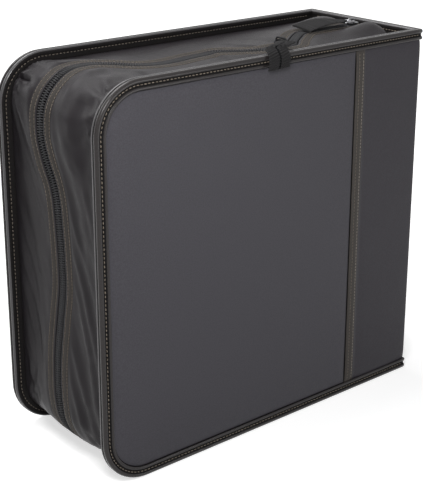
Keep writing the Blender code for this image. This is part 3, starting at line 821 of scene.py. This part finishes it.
# creases of the gusset cloth
crease = {
    # run, height of the creases
    "heights": ((0.0, 0.0006), (0.10, 0.0010), (0.20, 0.0014), (0.262, 0.0024), (0.300, 0.0042),
                (0.345, 0.0040), (0.42, 0.0034), (0.50, 0.0032), (0.555, 0.0028), (0.60, 0.0010),
                (0.66, 0.0005), (1.0, 0.0004)),
    "lean": 18,  # degrees between the long creases and the edge of the cover
    # length, width and weight of the long creases, the broad waves and the fine ones
    "long": (0.105, 0.0125, 0.45),
    "broad": (0.05, 0.02, 0.55),
    "fine": (0.022, 0.010, 0.10),
    "crumple": 2.6,  # beside the cover's rounded corners
    "crumpleReach": 0.022,
    "frontPeak": 0.0085,
    "backPeak": 0.0065,
    "peakReach": 0.034,
    "endTuck": 0.75,  # how far the free end folds down again
    "sag": 0.0016,
}


def creaseHeight(side, run, y, share):
    lean = radians(crease["lean"])
    along = run * cos(lean) - y * sin(lean)
    across = run * sin(lean) + y * cos(lean)

    def waves(kind, layer):
        return ripple(along / crease[kind][0], across / crease[kind][1], layer)

    height = crease["long"][2] * (1 - 2 * abs(waves("long", 11.0 + side)))
    height += crease["broad"][2] * waves("broad", 4.0 - side * 3)
    height += crease["fine"][2] * (1 - 2 * abs(waves("fine", 8.0 + side * 2)))
    for middle in (topRun + 0.5 * cornerRun, topRun + 1.5 * cornerRun + sideRun):
        away = run - middle
        inward = gusset["edgeY"] - side * y + 0.004
        reach = hypot(away, inward)
        fan = 0.8 - 2 * abs(ripple(atan2(away, inward) * 3.2, reach / 0.05, 2.0 + side))
        height += crease["crumple"] * exp(-reach / crease["crumpleReach"]) * fan
    height *= readCurve(crease["heights"], run, 1)
    return height * sin(pi * min(1.0, max(0.0, share))) ** 0.6


def endPeak(side, run, share):
    # the free ends beside the spine stand up in a soft fold
    if run > wholeRun / 2:
        return 0.25 * endPeak(side, wholeRun - run, share)
    past = run - gusset["endAtZip"]
    tall = crease["frontPeak"] if side < 0 else crease["backPeak"]
    fade = exp(-(past / crease["peakReach"]) ** 2)
    crown = sin(pi * min(1.0, share * 0.92) ** (1.5 if side < 0 else 1.1))
    tuck = 1 - crease["endTuck"] * exp(-(past / 0.007) ** 2)
    return tall * fade * tuck * max(0.0, crown)


def gussetRow(side, run):
    # one row of cloth points from the zip to the cover's edge
    hemRun = slantedRun(run, 1.0)
    here, along, up, across = zipFrame(hemRun, gusset["smooth"])
    row = [here + across * side * distance + up * level for distance, level in hemLevels]
    hem = row[-1]
    hemBase, hemOut = rimPlace(hemRun)
    thick = gusset["thickness"]
    rise = (hem - hemBase).dot(hemOut)
    offX = hem.x - hemBase.x - hemOut.x * rise
    offZ = hem.z - hemBase.z - hemOut.z * rise
    for number in range(1, gusset["columns"] + 1):
        step = number / gusset["columns"]
        share = step - 0.06 * sin(2 * pi * step)
        place = slantedRun(run, 1.0 - share)
        base, out = rimPlace(place)
        edge = base + out * thick + Vector((0, side * gusset["edgeY"], 0))
        y = hem.lerp(edge, share).y
        flat = base + out * (thick + (rise - thick) * (1 - share * share * (3 - 2 * share)))
        point = Vector((flat.x + offX * (1 - share), y, flat.z + offZ * (1 - share)))
        lift = creaseHeight(side, place, y, share) + endPeak(side, place, 1 - share)
        lift -= crease["sag"] * sin(pi * share) * (0.4 if place < 0.25 else 1.0)
        row.append(point + out * lift)
    return row


def zipRuns(end, count):
    # evenly spaced runs that leave the given length free at both ends
    return [end + (wholeRun - 2 * end) * number / count for number in range(count + 1)]


def makeGusset(word, side):
    count = round((wholeRun - 2 * gusset["endAtZip"]) / gusset["step"])
    points = []
    for run in zipRuns(gusset["endAtZip"], count):
        points.extend(gussetRow(side, run))
    columns = len(points) // (count + 1)
    rowMarks = [int(4 <= column < len(hemLevels) - 2) for column in range(columns - 1)]
    piece = makePiece(word + "GussetCloth", points, gridFaces(count + 1, columns), ["gusset", "hem"],
                      angle=75, marks=rowMarks * count)
    orientOutward(piece, lambda place: Vector((place.x - 0.02, 0, place.z - topZ / 2)))
    thicken(piece, gusset["clothThickness"])
    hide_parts(word + "_gusset")
    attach(piece, word + "_half")


def hemStitches(word, side):
    rows = []
    for distance in gusset["hem"][1:3]:
        samples = []
        for run in zipRuns(gusset["endAtZip"] + 0.001, 420):
            here, along, up, across = zipFrame(run, gusset["smooth"])
            samples.append((here + across * side * distance + up * 0.00105, up))
        rows.append(samples)
    stitchRow(word + "HemStitches", word + "_half", rows, "fine", "fineThread")


tape = {
    "end": 0.0095,
    "step": 0.004,
    # distance from the middle of the zip and height
    "section": ((0.0003, -0.0003), (0.0042, -0.0002), (0.0118, -0.0003), (0.0118, -0.0010),
                (0.0003, -0.0010)),
}


def makeTape(word, side):
    points = []
    count = round((wholeRun - 2 * tape["end"]) / tape["step"])
    for run in zipRuns(tape["end"], count):
        here, along, up, across = zipFrame(run)
        points.extend([here + across * side * distance + up * level for distance, level in tape["section"]])
    columns = len(tape["section"])
    faces = gridFaces(count + 1, columns, True)
    faces += [capFace(0, columns), capFace(len(points) - columns, columns)]
    piece = makePiece(word + "ZipTape", points, faces, ["tape"], angle=30)
    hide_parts(word + "_zip_tape")
    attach(piece, word + "_half")


coil = {
    "pitch": 0.0019,
    "half": 0.00042,
    "bottom": -0.0002,
    "top": 0.0014,
    # distance from the middle of the zip, width, lift of the underside, height
    "rings": ((0.0035, 0.55, 0.25, 0.8), (0.0031, 1.0, 0.0, 1.0), (0.0014, 1.0, 0.0, 1.0),
              (0.0003, 1.15, 0.0, 1.04), (-0.0004, 0.9, 0.15, 0.88)),
}


def makeCoil(word, side):
    samples = []
    for run in zipRuns(tape["end"] + 0.0005, 900):
        here, along, up, across = zipFrame(run)
        samples.append((here, up))
    points, faces = [], []
    offset = coil["pitch"] / 2 if side > 0 else 0.0
    tall = coil["top"] - coil["bottom"]
    for here, along, up in evenWalk(samples, coil["pitch"], offset, coil["pitch"] / 2 - offset):
        across = towardsBack(up, along) * side
        first = len(points)
        for distance, wide, low, high in coil["rings"]:
            bottom = coil["bottom"] + tall * low * 0.5
            top = coil["bottom"] + tall * high
            shoulder = (bottom + top * 2) / 3
            for shift, level in ((-1, bottom), (-1, shoulder), (-0.5, top),
                                 (0.5, top), (1, shoulder), (1, bottom)):
                points.append(here + across * distance + along * shift * wide * coil["half"] + up * level)
        faces.extend(gridFaces(len(coil["rings"]), 6, True, first))
        faces += [capFace(first, 6), capFace(len(points) - 6, 6)]
    piece = makePiece(word + "ZipCoil", points, faces, ["coil"], angle=45)
    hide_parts(word + "_zip_teeth")
    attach(piece, word + "_half")


for word, side in (("front", -1), ("back", 1)):
    makeGusset(word, side)
    hemStitches(word, side)
    makeTape(word, side)
    makeCoil(word, side)
print("gusset and zip made")


slider = {
    "upper": (0.0019, 0.0031),  # underside and top of the plates
    "lower": (-0.0023, -0.0013),
    "halfWidth": 0.0046,
    "length": 0.011,
    "edgeBend": 0.0003,
    "bailLength": 0.009,
    "bailBar": 0.0007,
    # one side of the plate seen from above: broad at one end, waisted and rounded at the other
    "outline": ((-1.0, 0.35), (-0.92, 0.62), (-0.7, 0.78), (-0.3, 0.82), (0.1, 0.9), (0.5, 1.0),
                (0.8, 0.97), (0.95, 0.8), (1.0, 0.5)),
    # the wedge between the plates
    "wedge": ((-0.0035, -0.0004), (0.004, -0.0005), (0.004, 0.0005), (-0.0035, 0.0004)),
    "finish": {"front": "darkMetal", "back": "metal"},
}


def outlineRing(centre, z, grow=0.0):
    half = slider["length"] / 2 + grow
    wide = slider["halfWidth"] + grow
    ring = [(x * half, y * wide) for x, y in slider["outline"]]
    ring += [(x * half, -y * wide) for x, y in reversed(slider["outline"])]
    return [centre + Vector((x, y, z)) for x, y in ring]


def addStack(points, faces, rings):
    first = len(points)
    columns = len(rings[0])
    for ring in rings:
        points.extend(ring)
    faces.append(capFace(first, columns))
    faces.extend(gridFaces(len(rings), columns, True, first))
    faces.append(capFace(len(points) - columns, columns))


def tubeAlong(points, faces, path, radius, closed=False, upHint=Vector((0, 0, 1))):
    sides = 10
    first = len(points)
    count = len(path)
    for index in range(count):
        ahead = path[(index + 1) % count] if closed or index < count - 1 else path[index]
        behind = path[index - 1] if closed or index > 0 else path[index]
        along = (ahead - behind).normalized()
        across = along.cross(upHint)
        if across.length < 1e-4:
            across = along.cross(Vector((0, 1, 0)))
        across.normalize()
        up = across.cross(along)
        for side in range(sides):
            angle = 2 * pi * (side + 0.5) / sides
            points.append(path[index] + across * radius * cos(angle) + up * radius * sin(angle))
    faces.extend(gridFaces(count, sides, True, first))
    last = len(points) - sides
    if not closed:
        faces += [capFace(first, sides), capFace(last, sides)]
        return
    for side in range(sides):
        after = (side + 1) % sides
        faces.append((last + side, last + after, first + after, first + side))


def makeSlider(word):
    low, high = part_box(word + "_slider")
    centre = Vector(((low[0] + high[0]) / 2, (low[1] + high[1]) / 2, low[2] - slider["lower"][0]))
    bend = slider["edgeBend"]
    points, faces = [], []
    for bottom, top in (slider["upper"], slider["lower"]):
        addStack(points, faces, [outlineRing(centre, bottom, -bend), outlineRing(centre, bottom + bend),
                                 outlineRing(centre, top - bend), outlineRing(centre, top, -bend * 1.3)])
    addStack(points, faces, [[centre + Vector((x, y, 0)) + Vector((0, 0, z)) for x, y in slider["wedge"]]
                             for z in (slider["lower"][1] - 0.0002, slider["upper"][0] + 0.0002)])
    # bail: a flat arch along the slider
    top = high[2] - centre.z - slider["bailBar"]
    half = slider["bailLength"] / 2 - 0.0007
    foot = slider["upper"][1] - 0.0004
    rising = [(half, foot), (half, foot + 0.001), (half - 0.0002, top - 0.0012),
              (half - 0.0009, top - 0.0003), (half - 0.002, top)]
    arch = [(-x, z) for x, z in rising] + [(0, top + 0.0001)] + rising[::-1]
    path = [centre + Vector((x, 0, z)) for x, z in arch]
    tubeAlong(points, faces, path, slider["bailBar"], upHint=Vector((0, 1, 0)))
    piece = makePiece(word + "SliderBody", points, faces, [slider["finish"][word]], angle=40)
    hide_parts(word + "_slider")
    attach(piece, word + "_slider_body")


def pullAxis(joint):
    return Vector([row for row in frame["joints"] if row["name"] == joint][0]["pos_m"])


def stadium(axis, straight, bend):
    # closed path round the axis and a second point further along -Y, in the plane across X
    path = []
    for turn, shift in ((0, 0.0), (180, straight)):
        for step in range(9):
            angle = radians(turn - 90 + 22.5 * step)
            path.append(axis + Vector((0, -shift + bend * cos(angle), bend * sin(angle))))
    return path


ribbon = {
    "halfWidth": 0.0105,
    "thickness": 0.0011,
    "ribPitch": 0.0020,
    "ribHeight": 0.00040,
    "slit": 0.0009,  # depth of the slit in the front ribbon
    "slitWidth": 0.0009,
    "slitFrom": 0.35,  # share of the ribbon's length
    "across": 24,
    "steps": 14,
}


def ribbonPath(stations):
    # smooth run through the stations' middle, half width vector and facing vector
    last = len(stations) - 1
    path = []
    for index in range(last):
        around = (stations[max(0, index - 1)], stations[index], stations[index + 1],
                  stations[min(last, index + 2)])
        for step in range(ribbon["steps"]):
            t = step / ribbon["steps"]
            row = []
            for column in range(3):
                a, b, c, d = (Vector(station[column]) for station in around)
                row.append(0.5 * ((2 * b) + (c - a) * t + (2 * a - 5 * b + 4 * c - d) * t * t
                                  + (3 * b - a - 3 * c + d) * t ** 3))
            path.append(row)
    path.append([Vector(vector) for vector in stations[last]])
    return path


def makeRibbon(word, stations, slit, slant, crown):
    # slit: its depth, slant: of the ribs, crown: how far the middle bulges
    path = ribbonPath(stations)
    half = ribbon["thickness"] / 2
    shares = [-1 + 2 * number / ribbon["across"] for number in range(ribbon["across"] + 1)]
    run = 0.0
    points = []

    def slitDepth(share):
        return slit * (1 if share > ribbon["slitFrom"] else 0.3)

    for index, (middle, across, facing) in enumerate(path):
        if index:
            run += (middle - path[index - 1][0]).length
        facing = facing.normalized()
        front, back = [], []
        for share in shares:
            off = share * across.length
            rib = ribbon["ribHeight"] * sin(2 * pi * (run + off * slant) / ribbon["ribPitch"])
            edge = half * (0.35 + 0.65 * min(1.0, (1 - abs(share)) * 9))
            dent = slitDepth(index / (len(path) - 1)) * exp(-(off / ribbon["slitWidth"]) ** 2)
            bulge = crown * (1 - share * share)
            place = middle + across * share
            front.append(place + facing * (edge + rib + bulge - dent))
            back.append(place - facing * (edge - bulge))
        points.extend(front + back[::-1])
    columns = 2 * len(shares)
    faces = gridFaces(len(path), columns, True)
    centre = len(shares) // 2
    marks = []
    # faces in the slit take the black tape finish: painted shade in the slit
    for index in range(len(faces)):
        row, column = divmod(index, columns)
        inSlit = slitDepth(row / len(path)) > 0.5 * ribbon["slit"]
        marks.append(int(inSlit and column in (centre - 1, centre)))
    marks += [0, 0]
    faces += [capFace(0, columns), capFace(len(points) - columns, columns)]
    piece = makePiece(word + "PullRibbon", points, faces, ["ribbon", "tape"], angle=60, marks=marks)
    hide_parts(word + "_pull_ribbon")
    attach(piece, word + "_pull")


def makeFrontPull():
    makeSlider("front")
    axis = pullAxis("front_pull_swing")
    low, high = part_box("front_pull_cord")
    bend = (high[2] - low[2]) / 2 - 0.0008
    straight = (axis.y - low[1]) - bend - 0.0008
    points, faces = [], []
    tubeAlong(points, faces, stadium(axis, straight, bend), 0.00078, True, Vector((1, 0, 0)))
    piece = makePiece("frontPullCordLoop", points, faces, ["cord"], angle=80)
    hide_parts("front_pull_cord")
    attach(piece, "front_pull")
    wide = ribbon["halfWidth"]
    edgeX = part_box("front_pull_ribbon")[0][0] + wide
    face = -halfDepth
    top = topZ
    reach = axis.y - face
    stations = [
        ((axis.x, axis.y - 0.0052, axis.z), (0.0012, -0.0008, 0), (0, 0, 1)),
        ((axis.x - 0.003, axis.y - 0.0090, axis.z + 0.0004), (0.0022, -0.0015, 0), (0, 0, 1)),
        ((axis.x - 0.010, axis.y - 0.0160, axis.z + 0.0018), (0.0050, -0.0032, 0), (0, 0.1, 1)),
        ((axis.x - 0.019, axis.y - 0.66 * reach, top + 0.0035), (0.0082, -0.0034, 0), (0, 0, 1)),
        ((edgeX + 0.003, face + 0.0070, top + 0.0031), (0.0098, -0.0016, 0), (0, -0.15, 1)),
        ((edgeX - 0.0008, face + 0.0012, top + 0.0020), (wide, 0, 0), (0, -0.6, 0.8)),
        ((edgeX - 0.0018, face - 0.0022, top - 0.0012), (wide, 0, 0), (0, -0.95, 0.3)),
        ((edgeX - 0.0026, face - 0.0036, top - 0.0050), (wide, 0, 0), (0, -1, 0.05)),
        ((edgeX - 0.0032, face - 0.0030, top - 0.0102), (wide, 0, 0.0006), (0, -1, -0.1)),
    ]
    makeRibbon("front", stations, ribbon["slit"], 0.25, 0.0006)


def makeBackPull():
    makeSlider("back")
    axis = pullAxis("back_pull_swing")
    low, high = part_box("back_pull_link")
    radius = (high[2] - low[2]) / 2
    wide = (high[1] - low[1]) / 2 - radius
    length = axis.x - low[0] - radius
    bend = 0.0018
    path = []
    for cornerX, cornerY, begin in ((-bend, wide - bend, 90), (-length + bend, wide - bend, 180),
                                    (-length + bend, -wide + bend, 270), (-bend, -wide + bend, 360)):
        for step in range(5):
            angle = radians(begin - 90 + 22.5 * step)
            path.append(axis + Vector((cornerX + bend * cos(angle), cornerY + bend * sin(angle), 0)))
    points, faces = [], []
    tubeAlong(points, faces, path, radius, True)
    piece = makePiece("backPullLinkFrame", points, faces, ["metal"], angle=80)
    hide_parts("back_pull_link")
    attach(piece, "back_pull")
    bar = axis.x - length
    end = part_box("back_pull_ribbon")[0][0]
    span = bar - end
    wide = ribbon["halfWidth"]
    y, z = axis.y, axis.z
    stations = [
        ((bar + 0.0016, y, z + 0.0009), (0, 0.0036, 0), (0, 0, 1)),
        ((bar - 0.0008, y, z + 0.0014), (0, 0.0040, 0), (0, 0, 1)),
        ((bar - 0.0050, y, z + 0.0016), (0, 0.0078, 0), (-0.1, 0, 1)),
        ((bar - 0.0120, y + 0.0006, z + 0.0024), (0, wide, 0), (-0.05, 0, 1)),
        ((bar - 0.5 * span, y + 0.0010, z + 0.0028), (0, wide, 0.0006), (0, 0, 1)),
        ((bar - 0.8 * span, y + 0.0012, z + 0.0012), (0, wide, 0.0008), (0.1, 0, 1)),
        ((end + 0.0006, y + 0.0012, z - 0.0004), (0, wide, 0.0010), (0.12, 0, 1)),
    ]
    makeRibbon("back", stations, 0.0, 0.0, 0.0004)


makeFrontPull()
makeBackPull()
print("sliders and pulls made")


pages = {
    "count": 24,
    "thickness": 0.0016,
    "gap": 0.0009,
    "stagger": 0.003,
    "puff": 0.0007,  # of the four pockets on the two outer leaves
    "outerGrid": (40, 38),
    "innerGrid": (8, 8),
}


def makePages():
    low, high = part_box("sleeve_pages")
    pitch = (high[1] - low[1] + pages["gap"]) / pages["count"]
    points, faces = [], []
    for leaf in range(pages["count"]):
        middle = low[1] + (leaf + 0.5) * pitch - pages["gap"] / 2
        left = low[0] + pages["stagger"] * (1 + sin(2.4 * leaf)) * 0.5
        first = len(points)
        outer = leaf in (0, pages["count"] - 1)
        nx, nz = pages["outerGrid"] if outer else pages["innerGrid"]
        for face in (-1, 1):
            for number in range((nx + 1) * (nz + 1)):
                row, column = divmod(number, nx + 1)
                u, v = column / nx, row / nz
                x = left + (high[0] - left) * u
                z = low[2] + (high[2] - low[2]) * v
                puff = pages["puff"] * abs(sin(2 * pi * v)) * abs(sin(2 * pi * u)) if outer else 0.0
                sway = 0.0004 * ripple(x * 14, leaf * 3.1, z * 14)
                thin = 0.35 + 0.65 * min(1.0, min(u, 1 - u, v, 1 - v) * 30)
                points.append(Vector((x, middle + sway + face * (pages["thickness"] / 2 * thin + puff), z)))
        size = (nx + 1) * (nz + 1)
        for start in (first, first + size):
            faces.extend(gridFaces(nz + 1, nx + 1, first=start))
        edge = list(range(nx))
        edge += [row * (nx + 1) + nx for row in range(nz)]
        edge += [nz * (nx + 1) + nx - column for column in range(nx)]
        edge += [(nz - row) * (nx + 1) for row in range(nz)]
        for here, after in zip(edge, edge[1:] + edge[:1]):
            faces.append((first + here, first + after, first + size + after, first + size + here))
    piece = makePiece("sleevePageLeaves", points, faces, ["film"])
    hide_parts("sleeve_pages")
    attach(piece, "spine_section")


def dressPlainNodes():
    plain = {
        "board": ("front_cover_board", "back_cover_board", "spine_board"),
        "lining": ("front_lining", "back_lining", "spine_lining"),
        "webbing": ("page_binding_strip",),
    }
    for finish, nodes in plain.items():
        for node in nodes:
            mesh = frame["nodes"][node].data
            mesh.materials.clear()
            mesh.materials.append(finishes[finish])


makePages()
dressPlainNodes()
print("pages, boards and linings dressed")


# pale floor, backdrop light and soft studio lamps
studio = {
    "floorSize": 12.0,
    "floorColour": (0.60, 0.60, 0.60),
    "floorGlow": (0.64, 1.0),  # near the case and far from it
    "glowReach": (0.3, 0.85),
    "skyStrength": 0.15,
    # place, size, strength in watts
    "lamps": (((-0.38, -0.40, 0.56), 0.22, 3.5), ((-0.2, 0.5, 1.5), 1.0, 23),
              ((0.40, -0.90, 0.14), 0.30, 1.8), ((-0.6, 1.6, 0.8), 0.8, 5)),
    "lampTarget": (0, 0, 0.15),
}


def seenDirectly(tree):
    # 1 for rays that the camera, a gloss or a clear material sees
    rays = addNode(tree, "LightPath", {}).outputs
    seen = rays["Is Camera Ray"]
    for kind in ("Is Glossy Ray", "Is Transmission Ray"):
        either = addNode(tree, "Math", {0: seen, 1: rays[kind]})
        either.operation = "MAXIMUM"
        seen = either.outputs["Value"]
    return seen


def endWith(tree, output, shaders):
    # the first shader for light that falls on things, the second for what is seen directly
    pick = addNode(tree, "MixShader", {"Fac": seenDirectly(tree), 1: shaders[0], 2: shaders[1]})
    tree.links.new(pick.outputs["Shader"], tree.nodes[output].inputs["Surface"])


def makeFloor():
    half = studio["floorSize"] / 2
    corners = [(x, y, -0.0002) for x, y in ((-half, -half), (half, -half), (half, half), (-half, half))]
    mesh = bpy.data.meshes.new("studioFloor")
    mesh.from_pydata(corners, [], [(0, 1, 2, 3)])
    floor = addObject("studioFloor", mesh)
    finish, tree, shader, place = startFinish("floorPaper", studio["floorColour"], 0.9,
                                              Specular_IOR_Level=0.0)
    away = addNode(tree, "VectorMath", {0: place})
    away.operation = "LENGTH"
    reach = addNode(tree, "MapRange", {
        "Value": away.outputs["Value"],
        "From Min": studio["glowReach"][0], "From Max": studio["glowReach"][1],
        "To Min": studio["floorGlow"][0], "To Max": studio["floorGlow"][1]})
    glow = addNode(tree, "Emission", {"Strength": reach.outputs["Result"]})
    paper = shader.outputs["BSDF"]
    both = addNode(tree, "AddShader", {0: paper, 1: glow.outputs["Emission"]})
    endWith(tree, "Material Output", (paper, both.outputs["Shader"]))
    mesh.materials.append(finish)


def makeSky():
    world = bpy.data.worlds.new("studioSky")
    bpy.context.scene.world = world
    world.use_nodes = True
    tree = world.node_tree
    white = tree.nodes["Background"]
    white.inputs["Color"].default_value = (1, 1, 1, 1)
    white.inputs["Strength"].default_value = 1.0
    soft = addNode(tree, "Background", {"Color": (1, 1, 1, 1), "Strength": studio["skyStrength"]})
    endWith(tree, "World Output", (soft.outputs["Background"], white.outputs["Background"]))


def makeLamps():
    for number, (place, size, power) in enumerate(studio["lamps"]):
        light = bpy.data.lights.new(f"softbox{number}", "AREA")
        light.shape = "DISK"
        light.size = size
        light.energy = power
        lamp = addObject(f"softbox{number}", light)
        lamp.location = place
        lamp.visible_camera = False
        aim = Vector(studio["lampTarget"]) - Vector(place)
        lamp.rotation_euler = aim.to_track_quat("-Z", "Y").to_euler()


makeFloor()
makeSky()
makeLamps()
bpy.context.scene.view_settings.view_transform = "Standard"
print("studio made")
